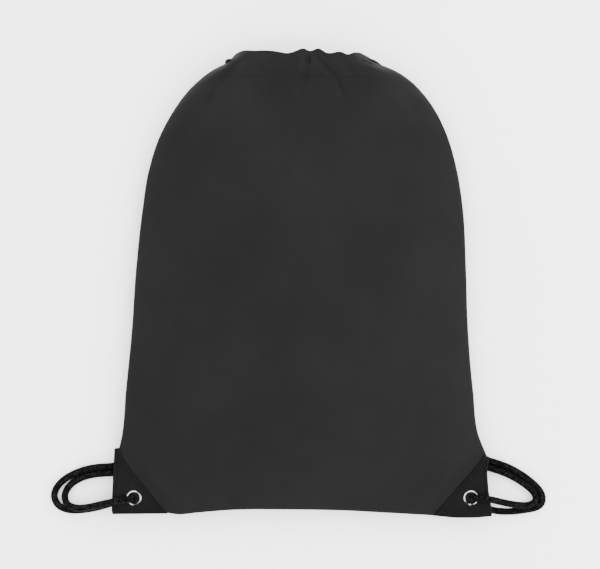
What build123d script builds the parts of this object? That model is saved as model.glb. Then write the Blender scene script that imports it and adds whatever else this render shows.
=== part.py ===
"""Drawstring backpack, full and closed, lying on its back.

+Z is up through the bag's thickness, +Y points to its mouth and +X to its right side seen from
the front. The origin is the middle of the footprint, on the surface the bag lies on. Millimetres.
"""
from build123d import *
import os
from math import hypot, pi, radians, sqrt, tan

os.makedirs("parts", exist_ok=True)

# Outline of the closed bag
BAG_LENGTH = 417.0
TOP_Y = BAG_LENGTH / 2
BOTTOM_Y = -BAG_LENGTH / 2
SHOULDER_Y = 60.0
SHOULDER_HALF = 144.5
SHOULDER_RISE = 162.0
SIDE_TAPER = 0.0736
CORNER_HALF = 169.5

# Cloth
CLOTH = 1.2
SEAM_Z = 14.0
SEAM_ALLOWANCE = 8.0
CROWN_HEIGHT = 35.0
CROWN_Y = 10.0
MOUTH_HEIGHT = 15.0
MOUTH_Y = 183.5
STITCH_INSET = 3.0
STITCH_WIDTH = 0.7
STITCH_HEIGHT = 0.4

# Corner patches
PATCH_THICKNESS = 0.9
PATCH_HALF = 170.0
PATCH_HEIGHT = 59.5
PATCH_FOOT = 50.0
PATCH_TOP_Y = BOTTOM_Y + PATCH_HEIGHT

# Eyelets
EYELET_X = 151.5
EYELET_Y = -192.8
EYELET_BORE = 4.9
EYELET_BARREL = 5.4
EYELET_RIM = 6.9
EYELET_CROWN = 1.25
LAYER_HOLE = 5.5
WASHER_THICKNESS = 0.6
LIP_HEIGHT = 0.5

# Casings
CASING_HALF = 54.0
CASING_WALL = 0.9
CASING_HEIGHT = 9.8
TUNNEL_Y0 = 187.1
TUNNEL_Y1 = 201.3
BACK_CASING_Z = 0.4
FRONT_CASING_Z = 24.1

# Cords
CORD_D = 6.0
CORD_R = CORD_D / 2
FLOOR_Z = 3.2
KNOT_R = 7.0
KNOT_Z0 = 0.3
KNOT_Z1 = 10.5
SPLIT_Y = -126.0
SPLIT_GAP = 0.4

# Where the panels' cross sections stand, from the bottom seam to the mouth
SECTION_Y = [BOTTOM_Y + 0.5, -199, -182, -165, PATCH_TOP_Y, PATCH_TOP_Y + 3, -110, -50, 10]
SECTION_Y += [60, 95, 125, 150, 168, MOUTH_Y]

FRONT_TOP = SEAM_Z + CLOTH
BACK_BOTTOM = SEAM_Z - CLOTH


def body_half_width(y):
    """Half the bag's width: a straight taper below the shoulders, an ellipse above them."""
    if y <= SHOULDER_Y:
        return SHOULDER_HALF + (SHOULDER_Y - y) * SIDE_TAPER
    return SHOULDER_HALF * sqrt(1 - ((y - SHOULDER_Y) / SHOULDER_RISE) ** 2)


def edge_slant(y):
    """How much further a distance square to the edge reaches when it is measured along X."""
    if y <= SHOULDER_Y:
        return 1.0
    rise = (y - SHOULDER_Y) / SHOULDER_RISE
    across = sqrt(1 - rise ** 2) / SHOULDER_HALF
    along = rise / SHOULDER_RISE
    return hypot(across, along) / across


def patch_edge(y):
    """Where the slanting edge of the corner patch lies at this height."""
    return PATCH_HALF - PATCH_FOOT + (y - BOTTOM_Y) * PATCH_FOOT / PATCH_HEIGHT


def dome_half_width(y):
    """Half the width of the filled part, inside the side seams and clear of the patches."""
    return min(body_half_width(y) - SEAM_ALLOWANCE * edge_slant(y), patch_edge(y) - 3)


def edge_half_width(y):
    """Half the width at the cut edge, which flares out under the corner patches."""
    return CORNER_HALF if y <= PATCH_TOP_Y else body_half_width(y)


def crown(y):
    """Height of the front panel above the seam plane on the centre line."""
    foot = SECTION_Y[1]
    if y <= foot:
        return 0.0
    if y <= CROWN_Y:
        return CROWN_HEIGHT * (1 - ((y - CROWN_Y) / (foot - CROWN_Y)) ** 2.4) ** 0.8
    return CROWN_HEIGHT - (CROWN_HEIGHT - MOUTH_HEIGHT) * ((y - CROWN_Y) / (MOUTH_Y - CROWN_Y)) ** 2


def sag(y):
    """How far the back panel hangs to the surface: 0 at the bottom seam, 1 where it lies on it."""
    if y < 150:
        return min(1.0, max(0.0, (y + 199) / 34))
    return 1 - 0.25 * (y - 150) / (MOUTH_Y - 150)


def strip(half_line, thickness, y):
    """A closed section across the bag, from the lower line of its right half, outermost first."""
    lower = [(x, z) for x, z in half_line] + [(-x, z) for x, z in reversed(half_line)]
    upper = [(x, z + thickness) for x, z in reversed(lower)]
    corners = [Vector(x, y, z) for x, z in lower + upper]
    return make_face(Polyline(*corners, close=True))


def front_section(y):
    dome = dome_half_width(y)
    fullness = 2.2 + 3.8 * max(0.0, (y - 100) / (MOUTH_Y - 100)) ** 2
    line = [(edge_half_width(y), SEAM_Z), (dome, SEAM_Z)]
    for u in (0.9, 0.72, 0.42):
        line.append((dome * u, SEAM_Z + crown(y) * (1 - u ** fullness)))
    return strip(line, CLOTH, y)


def back_section(y):
    dome = dome_half_width(y)
    step = 15 * edge_slant(y)
    line = [(edge_half_width(y), BACK_BOTTOM), (dome, BACK_BOTTOM)]
    line.append((dome - step, BACK_BOTTOM - 5.4 * sag(y)))
    line.append((dome - 2 * step, BACK_BOTTOM - 13.1 * sag(y)))
    return strip(line, CLOTH, y)


def eyelet_holes():
    return [Pos(s * EYELET_X, EYELET_Y, SEAM_Z) * Cylinder(LAYER_HOLE, 20) for s in (-1, 1)]


def front_panel():
    return loft([front_section(y) for y in SECTION_Y], ruled=True) - eyelet_holes()


def back_panel():
    """Lies flat on the surface in the middle, and leaves room for the cords along its sides."""
    pan = loft([back_section(y) for y in SECTION_Y], ruled=True) - eyelet_holes()
    return pan - Pos(0, 0, -5) * Box(600, 600, 10)


def casing(z):
    """A hem folded into a flat tunnel, with a narrow ruffle of cloth above the tunnel."""
    middle_y = (MOUTH_Y + TOP_Y) / 2
    tunnel_y = (TUNNEL_Y0 + TUNNEL_Y1) / 2
    middle_z = z + CASING_HEIGHT / 2
    outer = RectangleRounded(TOP_Y - MOUTH_Y, CASING_HEIGHT, 3)
    tunnel = RectangleRounded(TUNNEL_Y1 - TUNNEL_Y0, CASING_HEIGHT - 2 * CASING_WALL, 2.4)
    across = Plane.YZ.offset(-CASING_HALF)
    profile = Pos(middle_y, middle_z) * outer - Pos(tunnel_y, middle_z) * tunnel
    return extrude(across * profile, 2 * CASING_HALF)


def casing_stitch(z, height):
    """The row of thread that closes the tunnel, along its lower side."""
    return Pos(0, MOUTH_Y + 3.5, z + height / 2) * Box(2 * CASING_HALF - 4, STITCH_WIDTH, height)


def patch_outline(side):
    corners = [
        (side * PATCH_HALF, PATCH_TOP_Y),
        (side * PATCH_HALF, BOTTOM_Y),
        (side * (PATCH_HALF - PATCH_FOOT), BOTTOM_Y),
    ]
    return fillet(make_face(Polyline(*corners, close=True)).vertices(), 1.2)


def corner_patch(side, z):
    patch = extrude(Pos(0, 0, z) * patch_outline(side), PATCH_THICKNESS)
    return patch - eyelet_holes()


def patch_stitch(side):
    """A line of thread round the front patch, just inside its edge."""
    outline = patch_outline(side)
    line = offset(outline, -STITCH_INSET + STITCH_WIDTH / 2)
    line -= offset(outline, -STITCH_INSET - STITCH_WIDTH / 2)
    return extrude(Pos(0, 0, FRONT_TOP + PATCH_THICKNESS) * line, STITCH_HEIGHT)


def side_seam(side):
    """Thread along the side, from the patch up to the shoulder's end."""
    rows = [y for y in SECTION_Y if y > PATCH_TOP_Y]
    line = [(side * (body_half_width(y) - STITCH_INSET * edge_slant(y)), y) for y in rows]
    inner = [(x - side * STITCH_WIDTH, y) for x, y in reversed(line)]
    band = make_face(Polyline(*(line + inner), close=True))
    return extrude(Pos(0, 0, FRONT_TOP) * band, STITCH_HEIGHT)


def bottom_seam():
    length = 2 * (PATCH_HALF - PATCH_FOOT - 2)
    return Pos(0, BOTTOM_Y + 3.5, FRONT_TOP + STITCH_HEIGHT / 2) * Box(length, STITCH_WIDTH, STITCH_HEIGHT)


def eyelet(side):
    """A barrel through all the layers, with a rounded rim in front and a lip turned over behind."""
    rim_z = FRONT_TOP + PATCH_THICKNESS
    lip_z1 = BACK_BOTTOM - PATCH_THICKNESS - WASHER_THICKNESS
    lip_z0 = lip_z1 - LIP_HEIGHT
    walls = Polyline(
        (EYELET_BORE, 0, rim_z),
        (EYELET_BORE, 0, lip_z0),
        (EYELET_BARREL + 0.8, 0, lip_z0),
        (EYELET_BARREL + 0.8, 0, lip_z1),
        (EYELET_BARREL, 0, lip_z1),
        (EYELET_BARREL, 0, rim_z),
        (EYELET_RIM, 0, rim_z),
    )
    middle_r = (EYELET_BORE + EYELET_RIM) / 2
    rim = ThreePointArc(
        (EYELET_RIM, 0, rim_z), (middle_r, 0, rim_z + EYELET_CROWN), (EYELET_BORE, 0, rim_z)
    )
    ring = revolve(make_face(walls + rim), Axis.Z)
    return Pos(side * EYELET_X, EYELET_Y, 0) * ring


def eyelet_washer(side):
    z = BACK_BOTTOM - PATCH_THICKNESS - WASHER_THICKNESS / 2
    disc = Cylinder(EYELET_RIM, WASHER_THICKNESS) - Cylinder(LAYER_HOLE, WASHER_THICKNESS)
    return Pos(side * EYELET_X, EYELET_Y, z) * disc


def cord_knot(side):
    """Both ends of a cord tied together, too big to pass back through the eyelet."""
    barrel = Pos(side * EYELET_X, EYELET_Y, (KNOT_Z0 + KNOT_Z1) / 2) * Cylinder(KNOT_R, KNOT_Z1 - KNOT_Z0)
    return fillet(barrel.edges().filter_by(GeomType.CIRCLE), 3.4)


def arc_radii(points):
    """The largest even arc that each corner's two runs allow."""
    radii = []
    for before, here, after in zip(points, points[1:], points[2:]):
        run_in = Vector(*here) - Vector(*before)
        run_out = Vector(*after) - Vector(*here)
        half_turn = radians(run_in.get_angle(run_out)) / 2
        radii.append(0.45 * min(run_in.length, run_out.length) / tan(half_turn))
    return radii


def cord_tube(name, points):
    """A round cord along straight runs joined by tangent arcs."""
    radii = arc_radii(points)
    path = FilletPolyline(*[Vector(*p) for p in points], radius=radii)
    start = Plane(origin=path @ 0, z_dir=path % 0)
    tube = sweep(start * Circle(CORD_R), path=path)
    ideal = path.length * CORD_R ** 2 * pi
    print(f"{name}: length {path.length:.1f}, volume / ideal {tube.volume / ideal:.4f}")
    print("   radii", " ".join(f"{r:.1f}" for r in radii))
    return tube


def at_floor(points):
    return [(x, y, FLOOR_Z) for x, y in points]


# Left cord: up through the eyelet, over the patch and round the inner turn of the loop
LEFT_TAIL_A = [
    (-151.5, -192.8, KNOT_Z1),
    (-151.8, -193.0, 17.0),
    (-157.0, -193.6, 22.5),
    (-168.0, -195.0, 22.8),
    (-180.0, -198.6, 17.8),
    (-192.0, -201.8, 12.8),
    (-203.0, -202.6, 10.6),
    (-212.0, -199.5, 7.6),
    (-214.5, -190.5, 3.8),
    (-209.5, -181.5, 3.2),
    (-199.0, -174.8, 3.2),
    (-184.0, -172.3, 3.2),
    (-167.0, -173.6, 3.2),
    (-152.0, -168.5, 3.2),
    (-143.0, -156.0, 3.2),
    (-141.0, -140.0, 3.2),
    (-141.0, SPLIT_Y - SPLIT_GAP / 2, 3.2),
]
# Left cord: under the back panel to the casings, through both and back down
LEFT_RUN = [
    (-141.0, SPLIT_Y + SPLIT_GAP / 2, 3.2),
    (-141.0, -112.0, 3.2),
    (-139.2, -84.0, 3.2),
    (-135.4, -32.0, 3.2),
    (-130.0, 27.0, 3.2),
    (-123.4, 82.0, 3.2),
    (-111.3, 126.0, 3.2),
    (-95.0, 155.0, 3.2),
    (-83.0, 171.5, 3.6),
    (-73.5, 184.0, 4.8),
    (-62.5, 190.6, 5.0),
    (-38.0, 190.6, 5.4),
    (0.0, 190.6, 5.7),
    (30.0, 190.6, 5.6),
    (48.0, 190.6, 5.4),
    (61.0, 190.6, 5.0),
    (68.0, 190.6, 12.0),
    (68.0, 190.6, 22.0),
    (61.0, 190.6, 29.0),
    (48.0, 190.6, 29.35),
    (30.0, 190.6, 29.6),
    (0.0, 190.6, 29.8),
    (-38.0, 190.6, 29.4),
    (-60.0, 190.6, 29.0),
    (-74.0, 190.8, 21.0),
    (-80.5, 188.5, 9.5),
    (-88.0, 180.5, 3.6),
    (-101.0, 162.0, 3.2),
    (-119.5, 131.0, 3.2),
    (-131.0, 90.0, 3.2),
    (-137.3, 40.0, 3.2),
    (-142.9, -20.0, 3.2),
    (-147.4, -76.0, 3.2),
    (-149.5, -112.0, 3.2),
    (-149.5, SPLIT_Y + SPLIT_GAP / 2, 3.2),
]
# Left cord: round the outer turn of the loop and under the patch to the knot
LEFT_TAIL_B = at_floor([
    (-149.5, SPLIT_Y - SPLIT_GAP / 2),
    (-149.5, -140.0),
    (-154.0, -155.5),
    (-167.0, -163.8),
    (-184.0, -165.2),
    (-199.0, -167.3),
    (-213.0, -174.5),
    (-221.5, -182.5),
    (-224.8, -192.0),
    (-220.5, -200.5),
    (-211.0, -204.3),
    (-199.0, -203.8),
    (-185.0, -201.0),
    (-170.0, -197.2),
    (-160.0, -193.6),
])

RIGHT_TAIL_A = [
    (151.5, -192.8, KNOT_Z1),
    (151.8, -192.8, 17.0),
    (157.0, -192.6, 22.5),
    (167.5, -193.4, 22.6),
    (177.5, -196.0, 17.0),
    (187.5, -198.2, 12.4),
    (198.0, -199.4, 10.4),
    (205.6, -199.0, 8.2),
    (210.2, -195.2, 5.4),
    (209.8, -189.4, 3.4),
    (205.0, -184.0, 3.2),
    (194.5, -176.0, 3.2),
    (181.0, -170.8, 3.2),
    (166.0, -167.6, 3.2),
    (151.0, -163.0, 3.2),
    (143.2, -153.0, 3.2),
    (141.0, -138.0, 3.2),
    (141.0, SPLIT_Y - SPLIT_GAP / 2, 3.2),
]
RIGHT_RUN = [
    (141.0, SPLIT_Y + SPLIT_GAP / 2, 3.2),
    (141.0, -112.0, 3.2),
    (139.2, -84.0, 3.2),
    (135.4, -32.0, 3.2),
    (130.0, 27.0, 3.2),
    (123.4, 82.0, 3.2),
    (111.8, 124.0, 3.2),
    (97.2, 153.0, 3.2),
    (87.0, 170.5, 3.5),
    (79.0, 183.2, 4.1),
    (71.5, 194.5, 4.7),
    (57.5, 197.8, 5.0),
    (38.0, 197.8, 5.4),
    (0.0, 197.8, 5.7),
    (-30.0, 197.8, 5.6),
    (-48.0, 197.8, 5.4),
    (-61.0, 197.8, 5.0),
    (-68.0, 197.8, 12.0),
    (-68.0, 197.8, 22.0),
    (-61.0, 197.8, 29.0),
    (-48.0, 197.8, 29.35),
    (-30.0, 197.8, 29.6),
    (0.0, 197.8, 29.8),
    (38.0, 197.8, 29.4),
    (60.0, 197.8, 29.0),
    (73.0, 196.2, 22.5),
    (80.5, 191.0, 11.0),
    (87.8, 181.5, 3.8),
    (101.0, 162.0, 3.2),
    (119.5, 131.0, 3.2),
    (131.0, 90.0, 3.2),
    (137.3, 40.0, 3.2),
    (142.9, -20.0, 3.2),
    (147.4, -76.0, 3.2),
    (149.5, -112.0, 3.2),
    (149.5, SPLIT_Y + SPLIT_GAP / 2, 3.2),
]
RIGHT_TAIL_B = at_floor([
    (149.5, SPLIT_Y - SPLIT_GAP / 2),
    (149.5, -137.0),
    (152.5, -150.0),
    (162.5, -158.8),
    (178.0, -162.0),
    (194.5, -168.6),
    (208.8, -178.0),
    (217.2, -186.4),
    (220.2, -194.8),
    (217.2, -201.2),
    (208.0, -204.8),
    (194.0, -205.8),
    (180.0, -206.2),
    (167.5, -203.5),
    (158.0, -197.0),
])


def save(name, shape):
    export_step(shape, f"parts/{name}.step")


save("front_panel", front_panel())
save("back_panel", back_panel())
save("front_casing", casing(FRONT_CASING_Z))
save("back_casing", casing(BACK_CASING_Z))
save("front_casing_stitching", casing_stitch(FRONT_CASING_Z + CASING_HEIGHT, STITCH_HEIGHT))
save("back_casing_stitching", casing_stitch(BACK_CASING_Z - 0.3, 0.3))
save("bottom_seam_stitching", bottom_seam())
for label, direction in (("left", -1), ("right", 1)):
    save(f"side_seam_stitching_{label}", side_seam(direction))
    save(f"corner_patch_front_{label}", corner_patch(direction, FRONT_TOP))
    save(f"corner_patch_back_{label}", corner_patch(direction, BACK_BOTTOM - PATCH_THICKNESS))
    save(f"patch_stitching_{label}", patch_stitch(direction))
    save(f"eyelet_{label}", eyelet(direction))
    save(f"eyelet_washer_{label}", eyelet_washer(direction))
    save(f"cord_knot_{label}", cord_knot(direction))

CORDS = {
    "drawcord_tail_front_left": LEFT_TAIL_A,
    "drawcord_left": LEFT_RUN,
    "drawcord_tail_back_left": LEFT_TAIL_B,
    "drawcord_tail_front_right": RIGHT_TAIL_A,
    "drawcord_right": RIGHT_RUN,
    "drawcord_tail_back_right": RIGHT_TAIL_B,
}
for cord_name, route in CORDS.items():
    save(cord_name, cord_tube(cord_name, route))
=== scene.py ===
from math import cos, hypot, pi, radians, sin
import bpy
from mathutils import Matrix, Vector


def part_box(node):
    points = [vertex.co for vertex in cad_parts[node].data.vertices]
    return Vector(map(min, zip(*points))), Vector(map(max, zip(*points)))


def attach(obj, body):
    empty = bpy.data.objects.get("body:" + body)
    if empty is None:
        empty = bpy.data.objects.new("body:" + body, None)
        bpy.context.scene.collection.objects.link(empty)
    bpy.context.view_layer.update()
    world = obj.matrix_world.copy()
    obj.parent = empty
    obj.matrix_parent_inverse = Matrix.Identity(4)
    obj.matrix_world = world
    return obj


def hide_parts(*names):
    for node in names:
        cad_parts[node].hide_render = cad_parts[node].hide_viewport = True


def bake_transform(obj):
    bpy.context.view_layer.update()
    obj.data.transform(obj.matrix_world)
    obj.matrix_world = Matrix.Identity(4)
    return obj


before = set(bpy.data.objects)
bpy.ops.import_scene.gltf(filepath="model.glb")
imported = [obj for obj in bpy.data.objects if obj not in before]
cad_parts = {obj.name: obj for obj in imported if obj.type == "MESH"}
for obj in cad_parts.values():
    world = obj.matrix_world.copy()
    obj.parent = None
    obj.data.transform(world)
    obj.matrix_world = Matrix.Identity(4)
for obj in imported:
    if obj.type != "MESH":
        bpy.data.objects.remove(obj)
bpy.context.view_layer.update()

from types import SimpleNamespace

import bmesh
import bpy
import numpy as np
from mathutils import Vector, noise

MM = 0.001
SIDES = {"left": -1, "right": 1}

# Sizes and levels, in metres
SEAM_Z = 14.0 * MM
CLOTH_THICKNESS = 0.35 * MM
LEATHER_THICKNESS = 1.1 * MM
CORD_D = 6.0 * MM
EYELET = {side: [(a + b) / 2 for a, b in zip(*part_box(f"eyelet_{side}"))] for side in SIDES}


def smooth(t):
    t = np.clip(t, 0.0, 1.0)
    return t * t * (3 - 2 * t)


def shade_smooth(mesh):
    mesh.polygons.foreach_set("use_smooth", [True] * len(mesh.polygons))


def add_object(name, mesh):
    obj = bpy.data.objects.new(name, mesh)
    bpy.context.scene.collection.objects.link(obj)
    shade_smooth(mesh)
    return obj


def mesh_from(name, points, faces):
    mesh = bpy.data.meshes.new(name)
    mesh.from_pydata([tuple(p) for p in points], [], faces)
    mesh.update()
    return mesh


def thicken(obj, thickness):
    """Give a sheet its thickness, inwards from its outer face."""
    solid = obj.modifiers.new("thickness", "SOLIDIFY")
    solid.thickness = thickness
    solid.offset = -1.0
    depsgraph = bpy.context.evaluated_depsgraph_get()
    mesh = bpy.data.meshes.new_from_object(obj.evaluated_get(depsgraph))
    obj.modifiers.clear()
    obj.data = mesh
    shade_smooth(mesh)


# ---------------------------------------------------------------- materials
class Nodes:
    """A short way to write a material's node tree."""

    def __init__(self, name):
        self.material = bpy.data.materials.new(name)
        self.material.use_nodes = True
        self.tree = self.material.node_tree
        self.shader = self.tree.nodes["Principled BSDF"]
        self.place = self.tree.nodes.new("ShaderNodeTexCoord").outputs["Object"]

    def make(self, kind, **values):
        node = self.tree.nodes.new(kind)
        for key, value in values.items():
            if hasattr(node, key):
                setattr(node, key, value)
            else:
                node.inputs[key.replace("_", " ")].default_value = value
        return node

    def link(self, a, b):
        self.tree.links.new(a, b)

    def noise(self, scale, detail=2.0):
        node = self.make("ShaderNodeTexNoise", Scale=scale, Detail=detail)
        self.link(self.place, node.inputs["Vector"])
        return node.outputs["Fac"]

    def ramp(self, source, low, high, at=(0.3, 0.7)):
        node = self.make("ShaderNodeValToRGB")
        for element, colour, position in zip(node.color_ramp.elements, (low, high), at):
            element.color = (*colour, 1)
            element.position = position
        self.link(source, node.inputs["Fac"])
        return node.outputs["Color"]

    def maths(self, operation, a, b):
        node = self.make("ShaderNodeMath", operation=operation)
        for socket, value in zip(node.inputs, (a, b)):
            if isinstance(value, (int, float)):
                socket.default_value = value
            else:
                self.link(value, socket)
        return node.outputs[0]

    def wave(self, scale, direction):
        node = self.make("ShaderNodeTexWave", wave_type="BANDS", bands_direction=direction,
                         Scale=scale)
        node.inputs["Distortion"].default_value = 0.6
        node.inputs["Detail Scale"].default_value = 3.0
        self.link(self.place, node.inputs["Vector"])
        return node.outputs["Fac"]

    def bump(self, height, strength, distance, before=None):
        node = self.make("ShaderNodeBump", Strength=strength, Distance=distance)
        self.link(height, node.inputs["Height"])
        if before:
            self.link(before, node.inputs["Normal"])
        return node.outputs["Normal"]

    def finish(self, colour, roughness, normal, **constant):
        self.link(colour, self.shader.inputs["Base Color"])
        self.link(roughness, self.shader.inputs["Roughness"])
        self.link(normal, self.shader.inputs["Normal"])
        for key, value in constant.items():
            self.shader.inputs[key.replace("_", " ")].default_value = value
        return self.material


def grey(value, tint=0.0):
    return (value, value, value * (1 + tint))


def cloth_material():
    """Fine plain-weave nylon with a slightly uneven dye and sheen."""
    m = Nodes("bag_nylon")
    weave = m.maths("MULTIPLY", m.wave(620, "X"), m.wave(620, "Y"))
    slubs = m.noise(900)
    fine = m.bump(weave, 0.35, 0.00012)
    normal = m.bump(slubs, 0.22, 0.0002, fine)
    normal = m.bump(m.noise(38, 4), 0.07, 0.002, normal)
    colour = m.ramp(m.noise(16, 6), grey(0.0046, 0.03), grey(0.006, 0.03))
    rough = m.ramp(m.noise(60, 3), grey(0.6), grey(0.68))
    return m.finish(colour, rough, normal, Sheen_Weight=0.008, Sheen_Roughness=0.5,
                    Specular_IOR_Level=0.035)


def patch_material():
    """Imitation leather: a fine pebble grain and a soft gloss."""
    m = Nodes("patch_leather")
    grain = m.make("ShaderNodeTexVoronoi", Scale=1150.0)
    m.link(m.place, grain.inputs["Vector"])
    pebbles = m.bump(grain.outputs["Distance"], 0.35, 0.00025)
    normal = m.bump(m.noise(110, 4), 0.25, 0.0012, pebbles)
    colour = m.ramp(m.noise(45, 5), grey(0.0012), grey(0.0026))
    rough = m.ramp(m.noise(150, 3), grey(0.42), grey(0.56))
    return m.finish(colour, rough, normal, Specular_IOR_Level=0.045)


def cord_material():
    """Braided polyester: the strands are in the mesh, the fibres in the bump, and painted glints as
    light specks in the colour.
    """
    m = Nodes("cord_braid")
    normal = m.bump(m.noise(2600, 3), 0.5, 0.00025)
    # painted glints: light specks in the colour stand in for light catching the braid's strands
    colour = m.ramp(m.noise(520, 2), grey(0.0003), grey(0.008), (0.46, 0.66))
    rough = m.ramp(m.noise(300, 2), grey(0.5), grey(0.7))
    return m.finish(colour, rough, normal, Specular_IOR_Level=0.02)


def thread_material():
    """Twisted sewing thread, a little lighter than the cloth."""
    m = Nodes("sewing_thread")
    normal = m.bump(m.wave(1500, "DIAGONAL"), 0.4, 0.0001)
    colour = m.ramp(m.noise(300), grey(0.0035), grey(0.006))
    rough = m.ramp(m.noise(200), grey(0.5), grey(0.62))
    return m.finish(colour, rough, normal, Specular_IOR_Level=0.04)


def metal_material():
    """Nickel-plated steel with faint handling marks in its bump, and painted reflections: its colour
    runs from dark to light in patches.
    """
    m = Nodes("eyelet_nickel")
    normal = m.bump(m.noise(700, 3), 0.08, 0.0002)
    # painted reflections: patches of dark and light colour stand in for what the metal would reflect
    colour = m.ramp(m.noise(150, 2), grey(0.02, 0.02), grey(0.42, 0.02), (0.42, 0.6))
    rough = m.ramp(m.noise(420, 4), grey(0.12), grey(0.27))
    return m.finish(colour, rough, normal, Metallic=1.0)


CLOTH_MATERIAL = cloth_material()
PATCH_MATERIAL = patch_material()
CORD_MATERIAL = cord_material()
THREAD_MATERIAL = thread_material()
METAL_MATERIAL = metal_material()


def dress(obj, material):
    obj.data.materials.clear()
    obj.data.materials.append(material)
    return obj


# ---------------------------------------------------------------- camera, light and floor
FRAME_WIDTH = 0.54
FRAME_MIDDLE = (-0.0022, -0.0009)
CAMERA_DISTANCE = 2.6
FLOOR_SIZE = 14
WORLD_LIGHT = 4.2


def set_camera():
    """Straight down on the bag, as in the photograph."""
    data = bpy.data.cameras.new("camera")
    camera = bpy.data.objects.new("camera", data)
    bpy.context.scene.collection.objects.link(camera)
    data.lens = data.sensor_width * CAMERA_DISTANCE / FRAME_WIDTH
    data.clip_end = 20
    camera.location = (*FRAME_MIDDLE, CAMERA_DISTANCE + SEAM_Z)
    bpy.context.scene.camera = camera


def area_light(name, place, size, power):
    """A round soft light aimed at the middle of the bag."""
    data = bpy.data.lights.new(name, "AREA")
    data.shape = "DISK"
    data.size = size
    data.energy = power
    light = bpy.data.objects.new(name, data)
    bpy.context.scene.collection.objects.link(light)
    light.location = place
    light.rotation_euler = (-Vector(place)).to_track_quat("-Z", "Y").to_euler()


def studio():
    bpy.ops.mesh.primitive_grid_add(size=FLOOR_SIZE, x_subdivisions=2, y_subdivisions=2)
    floor = bpy.context.object
    floor.name = "studio_floor"
    m = Nodes("studio_white")
    colour = m.ramp(m.noise(3), grey(0.94), grey(0.95))
    rough = m.ramp(m.noise(5), grey(0.85), grey(0.9))
    floor.data.materials.append(m.finish(colour, rough, m.bump(m.noise(8), 0.01, 0.0005)))
    world = bpy.data.worlds.new("studio")
    bpy.context.scene.world = world
    world.use_nodes = True
    background = world.node_tree.nodes["Background"]
    background.inputs["Color"].default_value = (1, 1, 1, 1)
    background.inputs["Strength"].default_value = WORLD_LIGHT
    area_light("key", (0.7, 1.6, 1.3), 0.7, 26)
    area_light("fill", (1.7, -0.1, 1.3), 1.2, 26)
    area_light("low", (-0.2, -1.8, 0.9), 0.8, 8)


set_camera()
studio()

# ---------------------------------------------------------------- cords
# The two cords' whole routes, from the knot over the patch, round the loop, under the bag,
# through both casings and back, in millimetres.
LEFT_ROUTE = [
    (-151.5, -192.8, 10.5), (-151.8, -193.0, 17.0), (-156.2, -193.8, 21.4), (-167.0, -195.4, 20.4),
    (-180.0, -198.4, 14.5), (-192.0, -201.6, 11.0), (-203.0, -202.8, 10.0), (-212.8, -200.0, 7.2),
    (-215.5, -190.5, 3.8), (-209.9, -181.3, 3.3), (-198.6, -174.6, 3.3), (-184.0, -171.6, 3.3),
    (-167.0, -171.3, 3.3), (-152.0, -167.0, 3.3), (-143.0, -156.0, 3.3), (-141.0, -140.0, 3.3),
    (-141.0, -112.0, 3.3), (-139.2, -84.0, 3.3), (-135.4, -32.0, 3.3), (-130.0, 27.0, 3.3),
    (-123.4, 82.0, 3.3), (-111.3, 126.0, 3.3), (-95.0, 155.0, 3.3), (-83.0, 171.5, 3.6),
    (-73.5, 184.0, 4.8), (-62.5, 190.6, 5.0), (-38.0, 190.6, 5.4), (0.0, 190.6, 5.7),
    (30.0, 190.6, 5.6), (48.0, 190.6, 5.4), (61.0, 190.6, 5.0), (68.0, 190.6, 12.0),
    (68.0, 190.6, 21.0), (61.0, 190.6, 26.6), (48.0, 190.6, 26.9), (30.0, 190.6, 27.1),
    (0.0, 190.6, 27.2), (-38.0, 190.6, 27.0), (-59.0, 190.6, 25.6), (-73.0, 190.2, 18.5),
    (-80.5, 188.5, 9.5), (-88.0, 180.5, 3.6), (-101.0, 162.0, 3.3), (-119.5, 131.0, 3.3),
    (-131.0, 90.0, 3.3), (-137.3, 40.0, 3.3), (-142.9, -20.0, 3.3), (-147.4, -76.0, 3.3),
    (-149.5, -112.0, 3.3), (-149.5, -140.0, 3.3), (-154.0, -156.5, 3.3), (-167.0, -165.2, 3.3),
    (-184.0, -165.6, 3.3), (-199.0, -168.5, 3.3), (-213.0, -174.9, 3.3), (-221.8, -183.0, 3.3),
    (-225.2, -192.0, 3.3), (-221.0, -201.0, 3.3), (-211.0, -205.0, 3.3), (-199.0, -204.7, 3.3),
    (-185.0, -202.4, 3.3), (-170.0, -197.6, 3.3), (-158.0, -194.6, 4.6),
]
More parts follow.
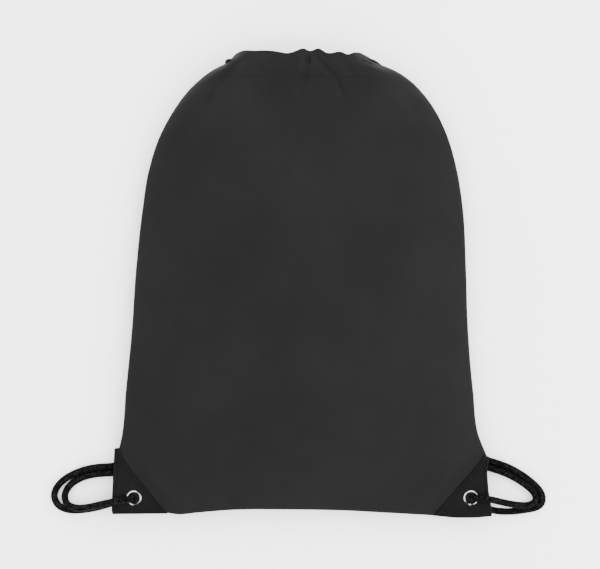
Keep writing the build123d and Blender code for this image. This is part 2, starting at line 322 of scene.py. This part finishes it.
RIGHT_ROUTE = [
    (151.5, -192.8, 10.5), (151.8, -192.8, 17.0), (156.2, -192.8, 21.4), (166.5, -193.3, 20.4),
    (177.5, -196.3, 14.6), (187.5, -198.7, 11.4), (197.0, -200.0, 10.0), (206.0, -199.9, 8.2),
    (211.2, -196.0, 5.4), (210.4, -189.8, 3.6), (204.5, -184.0, 3.3), (194.5, -176.9, 3.3),
    (181.0, -170.2, 3.3), (166.0, -165.7, 3.3), (151.0, -161.6, 3.3), (143.2, -153.0, 3.3),
    (141.0, -138.0, 3.3), (141.0, -112.0, 3.3), (139.2, -84.0, 3.3), (135.4, -32.0, 3.3),
    (130.0, 27.0, 3.3), (123.4, 82.0, 3.3), (111.8, 124.0, 3.3), (97.2, 153.0, 3.3),
    (87.0, 170.5, 3.5), (79.0, 183.2, 4.1), (71.5, 194.5, 4.7), (57.5, 197.8, 5.0),
    (38.0, 197.8, 5.4), (0.0, 197.8, 5.7), (-30.0, 197.8, 5.6), (-48.0, 197.8, 5.4),
    (-60.0, 198.2, 5.2), (-66.6, 199.0, 9.2), (-66.6, 199.0, 17.6), (-60.0, 198.6, 22.4),
    (-48.0, 197.8, 25.6), (-30.0, 197.8, 27.0), (0.0, 197.8, 27.2), (38.0, 197.8, 27.0),
    (53.0, 199.0, 23.6), (62.6, 199.4, 16.6), (72.0, 192.6, 9.6), (87.8, 180.5, 3.8),
    (101.0, 162.0, 3.3), (119.5, 131.0, 3.3), (131.0, 90.0, 3.3), (137.3, 40.0, 3.3),
    (142.9, -20.0, 3.3), (147.4, -76.0, 3.3), (149.5, -112.0, 3.3), (149.5, -137.0, 3.3),
    (152.5, -150.6, 3.3), (162.5, -158.6, 3.3), (175.0, -161.8, 3.3), (187.0, -166.2, 3.3),
    (199.0, -173.0, 3.3), (210.2, -181.8, 3.3), (216.6, -189.6, 3.3), (217.2, -197.4, 3.3),
    (213.0, -202.2, 3.3), (203.0, -204.5, 3.3), (190.0, -206.0, 3.3), (178.0, -206.2, 3.3),
    (167.5, -203.6, 3.3), (157.0, -196.6, 4.6),
]
ROUTES = {"left": LEFT_ROUTE, "right": RIGHT_ROUTE}
BRAID_RING = 30
BRAID_STEP = 0.55 * MM
BRAID_STRANDS = 8
BRAID_PITCH = 11.0 * MM
BRAID_DEPTH = 0.6 * MM
BRAID_SWELL = 0.25 * MM
KNOT_RING = 24
KNOT_STEP = 0.5 * MM
KNOT_CORD = 0.92


def smooth_line(name, route):
    """The points along a cord's smooth centreline."""
    curve = bpy.data.curves.new(name, "CURVE")
    curve.dimensions = "3D"
    spline = curve.splines.new("NURBS")
    spline.points.add(len(route) - 1)
    for point, place in zip(spline.points, route):
        point.co = (place[0] * MM, place[1] * MM, place[2] * MM, 1)
    spline.order_u = 3
    spline.use_endpoint_u = True
    spline.resolution_u = 14
    obj = bpy.data.objects.new(name, curve)
    bpy.context.scene.collection.objects.link(obj)
    mesh = bpy.data.meshes.new_from_object(obj)
    points = np.array([v.co for v in mesh.vertices])
    bpy.data.objects.remove(obj)
    return points


def even(points, step):
    """Points a step apart along a line, and how far along it each one is."""
    gaps = np.linalg.norm(np.diff(points, axis=0), axis=1)
    along = np.concatenate([[0], np.cumsum(gaps)])
    count = max(4, int(along[-1] / step))
    at = np.linspace(0, along[-1], count)
    return np.stack([np.interp(at, along, points[:, k]) for k in range(3)], axis=1), at


def strand_height(around, turn):
    """How high the braid stands, from 0 in a groove to 1: two families of strands that cross."""
    one = BRAID_STRANDS / 2 * (around + turn)
    two = BRAID_STRANDS / 2 * (around - turn)
    over = 0.5 + 0.5 * np.sin(one + two)
    return np.maximum(np.abs(np.cos(one / 2)) * (0.72 + 0.28 * over),
                      np.abs(np.cos(two / 2)) * (1.0 - 0.28 * over))


def braided_tube(name, line, diameter, ring=BRAID_RING, step=BRAID_STEP):
    """A round braided cord along the line."""
    points, along = even(line, step)
    tangents = np.gradient(points, axis=0)
    tangents /= np.linalg.norm(tangents, axis=1)[:, None]
    normal = np.cross(tangents[0], (0.3, 0.2, 1.0))
    normal /= np.linalg.norm(normal)
    radius = diameter / 2 + BRAID_SWELL
    around = np.linspace(0, 2 * pi, ring, endpoint=False)
    vertices = []
    for index, (point, tangent) in enumerate(zip(points, tangents)):
        normal = normal - tangent * normal.dot(tangent)
        normal /= np.linalg.norm(normal)
        other = np.cross(tangent, normal)
        ridge = strand_height(around, 2 * pi * along[index] / BRAID_PITCH)
        reach = radius - BRAID_DEPTH * (1 - ridge)
        vertices.append(point + np.outer(np.cos(around) * reach, normal)
                        + np.outer(np.sin(around) * reach, other))
    rows = len(points)
    faces = []
    for i in range(rows - 1):
        for j in range(ring):
            k = (j + 1) % ring
            faces.append((i * ring + j, i * ring + k, (i + 1) * ring + k, (i + 1) * ring + j))
    faces.append(tuple(reversed(range(ring))))
    faces.append(tuple((rows - 1) * ring + j for j in range(ring)))
    return add_object(name, mesh_from(name, np.concatenate(vertices), faces)), points


def knot_line(centre):
    """An overhand knot pulled tight: a flattened trefoil."""
    turns = np.linspace(0, 2 * pi, 90)
    x = 2.15 * MM * (np.sin(turns) + 1.75 * np.sin(2 * turns))
    y = 2.15 * MM * (np.cos(turns) - 1.75 * np.cos(2 * turns))
    z = -1.75 * MM * np.sin(3 * turns)
    return np.stack([x + centre[0], y + centre[1], z + centre[2]], axis=1)


def make_cord(side):
    """One drawcord: a braided tube along its whole route, and its knot, which goes with the bag."""
    line = smooth_line(f"line_{side}", ROUTES[side])
    cord, path = braided_tube(f"braided_cord_{side}", line, CORD_D)
    dress(cord, CORD_MATERIAL)
    low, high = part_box(f"cord_knot_{side}")
    centre = [(a + b) / 2 for a, b in zip(low, high)]
    knot, _ = braided_tube(f"tied_knot_{side}", knot_line(centre), CORD_D * KNOT_CORD,
                           KNOT_RING, KNOT_STEP)
    dress(knot, CORD_MATERIAL)
    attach(knot, "bag")
    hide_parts(f"cord_knot_{side}")
    names = [f"drawcord_tail_front_{side}", f"drawcord_{side}", f"drawcord_tail_back_{side}"]
    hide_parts(*names)
    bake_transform(cord)


for side in SIDES:
    make_cord(side)

# ---------------------------------------------------------------- the bag's outline
# Distance from the middle to the left and right edge at heights from the bottom seam up (mm)
OUTLINE = np.array([
    (-208.5, 168.0, 168.5), (-190.0, 168.0, 166.6), (-170.0, 167.0, 164.9), (-157.0, 166.4, 166.3),
    (-150.0, 165.3, 163.8), (-140.0, 163.0, 159.6), (-96.0, 158.8, 153.5), (-42.0, 153.5, 149.0),
    (12.0, 149.8, 147.2), (66.0, 144.0, 144.5),
    (102.0, 138.2, 139.0), (138.0, 125.8, 128.2), (156.0, 115.6, 119.2), (169.7, 105.8, 109.4),
    (183.0, 92.8, 96.2), (192.0, 80.8, 82.0), (195.4, 74.6, 73.8), (198.0, 68.9, 67.0),
    (201.0, 65.4, 62.6), (209.0, 58.0, 53.5),
])
# Heights of the bottom edge and of the ruffled top edge across the bag, left to right (mm)
BOTTOM_EDGE = np.array([
    (-170, -207.4), (-122, -206.4), (-113, -207.6), (-92, -205.8), (-67, -203.6), (-9, -203.0),
    (34, -203.8), (77, -206.2), (120, -208.8), (147, -210.4), (170, -209.6),
])
TOP_EDGE = np.array([
    (-66, 202.6), (-60, 206.6), (-54.6, 208.4), (-42.5, 208.0), (-29.3, 208.2), (-19.6, 206.8),
    (-13.6, 205.8), (-5.2, 208.0), (0.9, 210.0), (6.9, 208.0), (14.7, 210.0), (21.4, 206.2),
    (34.6, 206.8), (40.0, 204.8), (46.7, 206.8), (52.0, 207.0), (56.0, 205.2), (64.0, 202.2),
])


def through(table, at, column=1):
    """A smooth curve through a table's points, read at one or many places."""
    x, y = table[:, 0], table[:, column]
    slopes = np.gradient(y, x)
    at = np.clip(np.asarray(at, float), x[0], x[-1])
    i = np.clip(np.searchsorted(x, at) - 1, 0, len(x) - 2)
    gap = x[i + 1] - x[i]
    t = (at - x[i]) / gap
    a, b = y[i], y[i + 1]
    leaving = a * (1 + 2 * t) * (1 - t) ** 2 + slopes[i] * gap * t * (1 - t) ** 2
    arriving = b * t * t * (3 - 2 * t) + slopes[i + 1] * gap * t * t * (t - 1)
    return leaving + arriving


COLUMNS, ROWS = 300, 300
FIT_ROUNDS = 14
GATHERS = 11
CREASE_SAMPLES = 36
RIPPLE_STEP = 6

# The cloth's shape, in millimetres
BAG_FOOT, BAG_LENGTH = -208.5, 417.0
PATCH_INNER, PATCH_WIDTH, PATCH_HEIGHT = 120.0, 50.0, 59.5
FRONT_SEAM, BACK_SEAM = 14.3, 13.6
CROWN, CROWN_Y, CROWN_AT_MOUTH = 34.5, 10.0, 19.0
CASING_Y, CASING_BULGE = 194.0, 3.0
CORD_TOP = 31.4
BACK_EDGE_Z = 7.6


def wobble(x, y, z, scale):
    """Smooth noise at a place."""
    return noise.noise(Vector((x * scale, y * scale, z)))


def gather_depth(s, t, phase):
    """Folds that fan out from the drawn mouth: sharp at the rim, fading into the body."""
    spread = s + 0.05 * np.sin(5.3 * s + phase) + 0.025 * np.sin(13.0 * s + 2 * phase)
    fine = np.cos(spread * GATHERS * pi / 2 + phase)
    wide = np.cos(spread * GATHERS * pi / 3.4 + 1.3 * phase)
    long_fold = np.cos(spread * 9.3 + 0.7 + phase)
    near = smooth((t - 0.925) / 0.055)
    middle = smooth((t - 0.84) / 0.12)
    far = smooth((t - 0.60) / 0.34)
    return fine * near * 0.6 + wide * middle * 0.7 + long_fold * far * 0.9


def crease(x, y, path, width, depth):
    """A soft valley along a curved path, with low ridges beside it, fading at both ends."""
    ends = np.array([path[0], path[-1]], float)
    middle = np.array(path[len(path) // 2] if len(path) > 2 else ends.mean(axis=0), float)
    valley, ridge = np.zeros_like(x), np.zeros_like(x)
    for t in np.linspace(0, 1, CREASE_SAMPLES):
        px, py = ends[0] * (1 - t) ** 2 + middle * 2 * t * (1 - t) + ends[1] * t * t
        away = ((x - px) ** 2 + (y - py) ** 2) / width ** 2
        weight = sin(pi * (0.12 + 0.84 * t)) ** 1.4
        valley = np.maximum(valley, weight * np.exp(-away))
        ridge = np.maximum(ridge, weight * np.exp(-away / 5.5))
    return depth * (0.55 * ridge - 1.35 * valley)


FRONT_CREASES = [
    ([(-52, 199), (-67, 189), (-79, 175)], 3.2, 2.6), ([(-77, 174), (-82, 168), (-89, 157)], 2.4, 1.9),
    ([(-24, 207), (-30, 198), (-52, 186)], 3.0, 0.8), ([(-1, 207), (-6, 198), (-9, 186)], 2.6, 0.8),
    ([(5, 204), (5, 200), (5, 195)], 2.2, 1.9), ([(4, 200), (4, 186), (-3, 166)], 2.8, 1.7),
    ([(12, 202), (22, 191), (32, 182)], 2.8, 1.6), ([(30, 186), (33, 174), (40, 160)], 2.6, 1.3),
    ([(19, 207), (21, 202), (20, 196)], 2.2, 0.9), ([(34, 206), (37, 198), (50, 180)], 3.0, 0.9),
    ([(58, 182), (59, 176), (57, 166)], 4.0, 0.6), ([(78, 180), (98, 164), (110, 140)], 6.0, 0.8),
    ([(-90, 156), (-106, 136), (-114, 112)], 7.0, 0.8), ([(40, 206), (41, 203), (42, 198)], 2.2, 0.8),
]
BACK_CREASES = [
    ([(48, 196), (62, 178), (80, 160)], 4.5, 2.2), ([(-10, 204), (-14, 182), (-26, 160)], 3.6, 2.4),
    ([(12, 200), (16, 160)], 3.4, 2.0), ([(-52, 196), (-66, 174), (-84, 158)], 4.6, 2.2),
]


def fitted_grid():
    """A grid across (-1 to 1) and up (0 to 1) a panel, fitted to the bag's outline in the plane."""
    g = SimpleNamespace()
    across = np.linspace(-1, 1, COLUMNS + 1)
    across = np.sign(across) * (1 - (1 - np.abs(across)) ** 1.35)
    g.s, g.t = np.meshgrid(across, np.linspace(0, 1, ROWS + 1))
    g.y = BAG_FOOT + g.t * BAG_LENGTH
    for _ in range(FIT_ROUNDS):
        half = np.where(g.s < 0, through(OUTLINE, g.y, 1), through(OUTLINE, g.y, 2))
        g.x = g.s * half
        foot, head = through(BOTTOM_EDGE, g.x), through(TOP_EDGE, g.x)
        g.y = foot + (head - foot) * g.t
    slope = (through(OUTLINE, g.y + 1, 1) - through(OUTLINE, g.y - 1, 1)) / 2
    g.edge = (1 - np.abs(g.s)) * half / np.hypot(1, slope)
    g.above_foot = g.y - foot
    corner = (np.abs(g.x) - PATCH_INNER) / PATCH_WIDTH - (g.y - BAG_FOOT) / PATCH_HEIGHT
    g.under_patch = smooth((corner + 0.4) / 0.44)
    return g


SIDE_PUCKER = (3.1, 2.2, 17.0)
HEM_PUCKER = (3.4, 2.0, 21.0)


def puckers(along, away, wave):
    """Small gathers that a seam leaves in the cloth beside it, at an uneven spacing."""
    spacing, sway, sway_spacing = wave
    waves = np.sin(along / spacing + sway * np.sin(along / sway_spacing))
    return waves * np.exp(-((away - 4) / 5.0) ** 2) * 0.45


def slow_ripple(g, seed):
    """Gentle noise over the panel, worked out on a coarse grid and smoothed between its points."""
    rows_x, rows_y = g.x[::RIPPLE_STEP, ::RIPPLE_STEP], g.y[::RIPPLE_STEP, ::RIPPLE_STEP]
    coarse = np.array([[wobble(a, b, seed, 0.018) for a, b in zip(row_x, row_y)]
                       for row_x, row_y in zip(rows_x, rows_y)])
    rows, columns = np.arange(ROWS + 1) / RIPPLE_STEP, np.arange(COLUMNS + 1) / RIPPLE_STEP
    r = np.minimum(rows.astype(int), coarse.shape[0] - 2)
    c = np.minimum(columns.astype(int), coarse.shape[1] - 2)
    up, right = smooth(rows - r)[:, None], smooth(columns - c)[None, :]
    low = coarse[np.ix_(r, c)] * (1 - right) + coarse[np.ix_(r, c + 1)] * right
    high = coarse[np.ix_(r + 1, c)] * (1 - right) + coarse[np.ix_(r + 1, c + 1)] * right
    return low * (1 - up) + high * up


def front_height(g, folds):
    """The filled front: crowned, pulled in at its seams, creased below the drawn mouth."""
    below = np.clip((CROWN_Y - g.y) / (CROWN_Y - BAG_FOOT), 0, 1)
    above = np.clip((g.y - CROWN_Y) / 165, 0, 1)
    crown = np.where(g.y < CROWN_Y, CROWN * (1 - below ** 2.5) ** 0.62,
                     CROWN - (CROWN - CROWN_AT_MOUTH) * above ** 2)
    crown = crown + CASING_BULGE * np.exp(-((g.y - CASING_Y) / 9.0) ** 2)
    boxy = 2.3 + 4.2 * smooth((g.y - 110) / 85)
    shoulder = 0.78 - 0.2 * smooth((g.y - 150) / 45)
    body = crown * (1 - np.clip(np.abs(g.s), 0, 1) ** boxy) ** shoulder
    free = 1 - g.under_patch
    z = FRONT_SEAM + body * free + 1.1 * g.under_patch
    z = z + folds + puckers(g.y, g.edge, SIDE_PUCKER)
    z = z + puckers(g.x, g.above_foot, HEM_PUCKER) * free
    for path, width, depth in FRONT_CREASES:
        z = z + crease(g.x, g.y, path, width, depth)
    beside, along = smooth((68 - np.abs(g.x)) / 10), smooth((9 - np.abs(g.y - CASING_Y)) / 5)
    over_cord = CORD_TOP * beside * along
    z = np.maximum(z, 14.25 + 0.25 * g.under_patch)
    z = np.where(z < over_cord, over_cord + 0.25 * (z - over_cord), z)
    inside = smooth(g.edge / 30) * smooth(g.above_foot / 30)
    return z + slow_ripple(g, 7.0) * 1.6 * inside * free


def back_height(g, folds):
    """The back: it falls from its seams to the floor, and lifts a little at the gathered mouth."""
    drop = smooth(g.edge / 6.0) * 4.4 + smooth((g.edge - 24) / 24) * 9.0
    drop = drop * smooth((g.y + 208) / 42) * (1 - g.under_patch)
    z = BACK_SEAM - drop - 0.5 * g.under_patch
    lift = smooth((g.y - 150) / 45) * 2.6 * smooth((g.edge - 20) / 20)
    z = z + lift + np.abs(folds) * 0.8 + puckers(g.y, g.edge, SIDE_PUCKER) * 0.6
    near_mouth = smooth((g.y - 120) / 30)
    for path, width, depth in BACK_CREASES:
        z = z - 0.5 * crease(g.x, g.y, path, width, depth) * near_mouth
    z = np.clip(z, 0.35, None)
    return np.where(g.edge < 26, np.maximum(z, BACK_EDGE_Z), z)


def panel_points(front):
    """One panel as a grid of points, shaped by its filling, its seams and the drawn mouth."""
    g = fitted_grid()
    folds = gather_depth(g.s, g.t, 0.4 if front else 2.1)
    z = front_height(g, folds) if front else back_height(g, folds)
    x = g.x + 0.1 * folds * smooth((g.t - 0.9) / 0.1) * np.sign(g.s + 1e-9)
    return np.stack([x, g.y, z], axis=-1) * MM


def panel(name, front, *node_names):
    """A panel of cloth in place of its CAD nodes."""
    points = panel_points(front)
    rows, columns = points.shape[:2]
    faces = []
    for i in range(rows - 1):
        for j in range(columns - 1):
            a = i * columns + j
            quad = (a, a + 1, a + columns + 1, a + columns)
            faces.append(quad if front else tuple(reversed(quad)))
    obj = add_object(name, mesh_from(name, points.reshape(-1, 3), faces))
    thicken(obj, CLOTH_THICKNESS)
    dress(obj, CLOTH_MATERIAL)
    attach(obj, "bag")
    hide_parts(*node_names)
    return obj


front_cloth = panel("front_cloth", True, "front_panel", "front_casing")
back_cloth = panel("back_cloth", False, "back_panel", "back_casing")


# ---------------------------------------------------------------- corner patches
# Each patch's outer edge and slanting inner edge, from the top down (mm)
PATCH_EDGES = {
    "left": {
        "outer": [(-169.2, -148.6), (-169.9, -165.0), (-171.2, -190.0), (-171.7, -204.0),
                  (-170.9, -207.5)],
        "inner": [(-164.9, -147.8), (-161.6, -157.6), (-156.7, -164.4), (-143.0, -181.7),
                  (-133.0, -194.0), (-121.8, -206.9)],
    },
    "right": {
        "outer": [(168.3, -156.0), (166.2, -170.0), (167.5, -187.0), (169.4, -198.0),
                  (170.8, -206.0), (170.2, -209.4)],
        "inner": [(163.2, -154.6), (159.4, -161.0), (152.0, -169.6), (139.0, -184.0),
                  (129.0, -195.6), (118.2, -208.8)],
    },
}
PATCH_GRID = 72
FOOT_SAG = {"left": 0.0, "right": 1.6}
PATCH_HOLE = 5.5 * MM
PATCH_LEVEL = {True: 16.3, False: 11.6}


def along_path(path, count):
    """Evenly spaced points along a polyline, its corners a little rounded."""
    points, _ = even(np.array([(x, y, 0.0) for x, y in path]), 0.5)
    for _ in range(6):
        points[1:-1] = (points[:-2] + 2 * points[1:-1] + points[2:]) / 4
    gaps = np.linalg.norm(np.diff(points, axis=0), axis=1)
    at = np.concatenate([[0], np.cumsum(gaps)])
    wanted = np.linspace(0, at[-1], count)
    return np.stack([np.interp(wanted, at, points[:, k]) for k in range(2)], axis=1)


def patch_relief(to_outer, to_inner, to_foot):
    """A turned hem with a stitched groove inside it, and a rounded edge (mm)."""
    nearest = min(to_outer, to_inner, to_foot)
    hem = 0.4 * np.exp(-((nearest - 1.3) / 1.2) ** 2)
    groove = -0.35 * np.exp(-((nearest - 3.2) / 0.6) ** 2)
    rounding = -0.3 * np.exp(-(nearest / 0.5) ** 2)
    return hem + groove + rounding


def patch_points(side, front):
    lift = 1 if front else -1
    outer = along_path(PATCH_EDGES[side]["outer"], PATCH_GRID + 1)
    inner = along_path(PATCH_EDGES[side]["inner"], PATCH_GRID + 1)
    points = []
    for i in range(PATCH_GRID + 1):
        for j in range(PATCH_GRID + 1):
            x, y = outer[i] + (inner[i] - outer[i]) * j / PATCH_GRID
            y -= FOOT_SAG[side] * sin(pi * j / PATCH_GRID) * (i / PATCH_GRID) ** 6
            to_outer = hypot(x - outer[i][0], y - outer[i][1])
            to_inner = hypot(x - inner[i][0], y - inner[i][1]) * 0.7
            relief = patch_relief(to_outer, to_inner, y - outer[-1][1])
            z = PATCH_LEVEL[front] + lift * relief + 0.35 * lift * wobble(x, y, 2.0, 0.05)
            points.append((x * MM, y * MM, z * MM))
    return points


def face_outwards(mesh, up):
    """Remove loose points and turn every face up, or down."""
    bm = bmesh.new()
    bm.from_mesh(mesh)
    loose = [v for v in bm.verts if not v.link_faces]
    bmesh.ops.delete(bm, geom=loose, context="VERTS")
    bmesh.ops.recalc_face_normals(bm, faces=bm.faces)
    if (sum(f.normal.z for f in bm.faces) > 0) != up:
        bmesh.ops.reverse_faces(bm, faces=bm.faces)
    bm.to_mesh(mesh)
    bm.free()


def corner_patch(side, front):
    points = patch_points(side, front)
    hole_x, hole_y = EYELET[side][:2]
    faces = []
    for i in range(PATCH_GRID):
        for j in range(PATCH_GRID):
            a = i * (PATCH_GRID + 1) + j
            face = (a, a + PATCH_GRID + 1, a + PATCH_GRID + 2, a + 1)
            reach = [hypot(points[v][0] - hole_x, points[v][1] - hole_y) for v in face]
            if min(reach) > PATCH_HOLE:
                faces.append(face)
    where = "front" if front else "back"
    name = f"leather_patch_{where}_{side}"
    obj = add_object(name, mesh_from(name, points, faces))
    face_outwards(obj.data, front)
    thicken(obj, LEATHER_THICKNESS)
    dress(obj, PATCH_MATERIAL)
    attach(obj, "bag")
    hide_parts(f"corner_patch_{where}_{side}")


for side in SIDES:
    for front in (True, False):
        corner_patch(side, front)


# ---------------------------------------------------------------- stitching
# Pitch, length and thickness of the stitches
PATCH_STITCH = (3.2 * MM, 2.5 * MM, 0.32 * MM)
SEAM_STITCH = (3.0 * MM, 2.2 * MM, 0.28 * MM)
CASING_STITCH = (2.6 * MM, 1.9 * MM, 0.24 * MM)
STITCH_SAMPLE = 0.5 * MM
EYELET_CLEAR = 9.5 * MM
PATCH_SEAM_INSET = 3.3
PATCH_STITCH_Z, SEAM_STITCH_Z = 16.45, 13.95


def stitch_row(name, line, size, replaced, heights, gap_at=None):
    """Separate stitches along a line in the plane, each dipping into the cloth at its ends."""
    pitch, length, radius = size
    points = np.array([(x * MM, y * MM, 0) for x, y in line])
    points, along = even(points, STITCH_SAMPLE)
    bm = bmesh.new()
    start = pitch / 2
    while start + length < along[-1]:
        a = [np.interp(start, along, points[:, k]) for k in range(2)]
        b = [np.interp(start + length, along, points[:, k]) for k in range(2)]
        start += pitch
        if gap_at and hypot(a[0] - gap_at[0], a[1] - gap_at[1]) < EYELET_CLEAR:
            continue
        middle = ((a[0] + b[0]) / 2, (a[1] + b[1]) / 2)
        made = bmesh.ops.create_uvsphere(bm, u_segments=10, v_segments=8, radius=1.0)["verts"]
        direction = Vector((b[0] - a[0], b[1] - a[1], 0)).normalized()
        turn = direction.to_track_quat("X", "Z").to_matrix()
        z = heights(middle[0] / MM, middle[1] / MM) * MM
        for v in made:
            local = Vector((v.co.x * length / 2, v.co.y * radius, v.co.z * radius * 0.8))
            v.co = turn @ local + Vector((middle[0], middle[1], z))
    mesh = bpy.data.meshes.new(name)
    bm.to_mesh(mesh)
    bm.free()
    obj = add_object(name, mesh)
    dress(obj, THREAD_MATERIAL)
    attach(obj, "bag")
    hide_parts(replaced)
    return obj


class Ground:
    """Height of a cloth's upper or lower face under a place, found by a ray."""

    def __init__(self, obj, down=True):
        self.obj, self.down = obj, down

    def __call__(self, x, y):
        start = Vector((x * MM, y * MM, 0.2 if self.down else -0.2))
        hit, place, _, _ = self.obj.ray_cast(start, Vector((0, 0, -1 if self.down else 1)))
        return place.z / MM if hit else SEAM_Z / MM


def patch_seam(side, distance):
    """The stitched line round a patch, set in from its edges."""
    outer = along_path(PATCH_EDGES[side]["outer"], 60)
    inner = along_path(PATCH_EDGES[side]["inner"], 60)
    sign = SIDES[side]
    foot_y = outer[-1][1] + distance
    foot_ends = outer[-1][0] - sign * distance, inner[-1][0] + sign * 2 * distance
    foot = [(x, foot_y) for x in np.linspace(*foot_ends, 30)]
    upright = [(x - sign * distance, y) for x, y in outer if y > foot_y + 0.5]
    widest = abs(outer[0][0]) - 2 * distance
    slant = [(x + sign * distance * 0.75, y - distance * 0.6) for x, y in inner
             if y - distance * 0.6 > foot_y and abs(x) < widest]
    return upright + foot + slant[::-1]


for side, sign in SIDES.items():
    stitch_row(f"patch_stitches_{side}", patch_seam(side, PATCH_SEAM_INSET), PATCH_STITCH,
               f"patch_stitching_{side}", lambda x, y: PATCH_STITCH_Z, EYELET[side])
    column = 1 if sign < 0 else 2
    seam = [(sign * (float(through(OUTLINE, y, column)) - 0.1), y)
            for y in np.linspace(-144, 198, 110)]
    stitch_row(f"side_seam_stitches_{side}", seam, SEAM_STITCH,
               f"side_seam_stitching_{side}", lambda x, y: SEAM_STITCH_Z)

front_ground, back_ground = Ground(front_cloth), Ground(back_cloth, False)
hem_line = [(x, float(through(BOTTOM_EDGE, x)) + 0.2) for x in np.linspace(-116, 114, 60)]
stitch_row("bottom_seam_stitches", hem_line, SEAM_STITCH,
           "bottom_seam_stitching", lambda x, y: SEAM_STITCH_Z)
casing_line = [(x, 185.2 + 0.35 * (float(through(TOP_EDGE, x)) - 206.8))
               for x in np.linspace(-78, 78, 60)]
stitch_row("front_casing_stitches", casing_line, CASING_STITCH,
           "front_casing_stitching", lambda x, y: front_ground(x, y) + 0.05)
stitch_row("back_casing_stitches", casing_line, CASING_STITCH,
           "back_casing_stitching", lambda x, y: max(back_ground(x, y) - 0.02, 0.3))


# ---------------------------------------------------------------- eyelets
EYELET_STEPS = 72
EYELET_BORE, EYELET_RIM, RIM_HEIGHT = 4.9, 6.9, 1.1
RIM_Z, BARREL_FOOT_Z = 16.15, 10.9
WASHER = [(5.5, 11.9), (6.9, 11.9), (6.9, 11.5), (6.6, 11.25), (6.1, 11.0), (5.5, 11.1)]


def lathe(name, profile, centre, steps=EYELET_STEPS):
    """A ring with the given profile of radii and heights (mm)."""
    points, faces = [], []
    count = len(profile)
    for i in range(steps):
        angle = 2 * pi * i / steps
        for r, z in profile:
            points.append((centre[0] + r * MM * cos(angle), centre[1] + r * MM * sin(angle), z * MM))
    for i in range(steps):
        for j in range(count):
            a, b = i * count + j, i * count + (j + 1) % count
            c, d = ((i + 1) % steps) * count + (j + 1) % count, ((i + 1) % steps) * count + j
            faces.append((a, d, c, b))
    obj = add_object(name, mesh_from(name, points, faces))
    dress(obj, METAL_MATERIAL)
    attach(obj, "bag")
    return obj


def half_round(inner, outer, z, height, count=14):
    """The upper half of a rolled rim."""
    middle, half = (inner + outer) / 2, (outer - inner) / 2
    return [(middle + half * cos(radians(180 - 180 * k / count)),
             z + height * sin(radians(180 * k / count))) for k in range(count + 1)]


rolled_rim = half_round(EYELET_BORE, EYELET_RIM, RIM_Z, RIM_HEIGHT)
ring_profile = [(EYELET_BORE, BARREL_FOOT_Z)] + rolled_rim + [(5.4, 16.1), (5.4, BARREL_FOOT_Z)]
for side in SIDES:
    ring = lathe(f"eyelet_ring_{side}", ring_profile, EYELET[side])
    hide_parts(f"eyelet_{side}")
    disc = lathe(f"eyelet_back_ring_{side}", WASHER, EYELET[side])
    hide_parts(f"eyelet_washer_{side}")
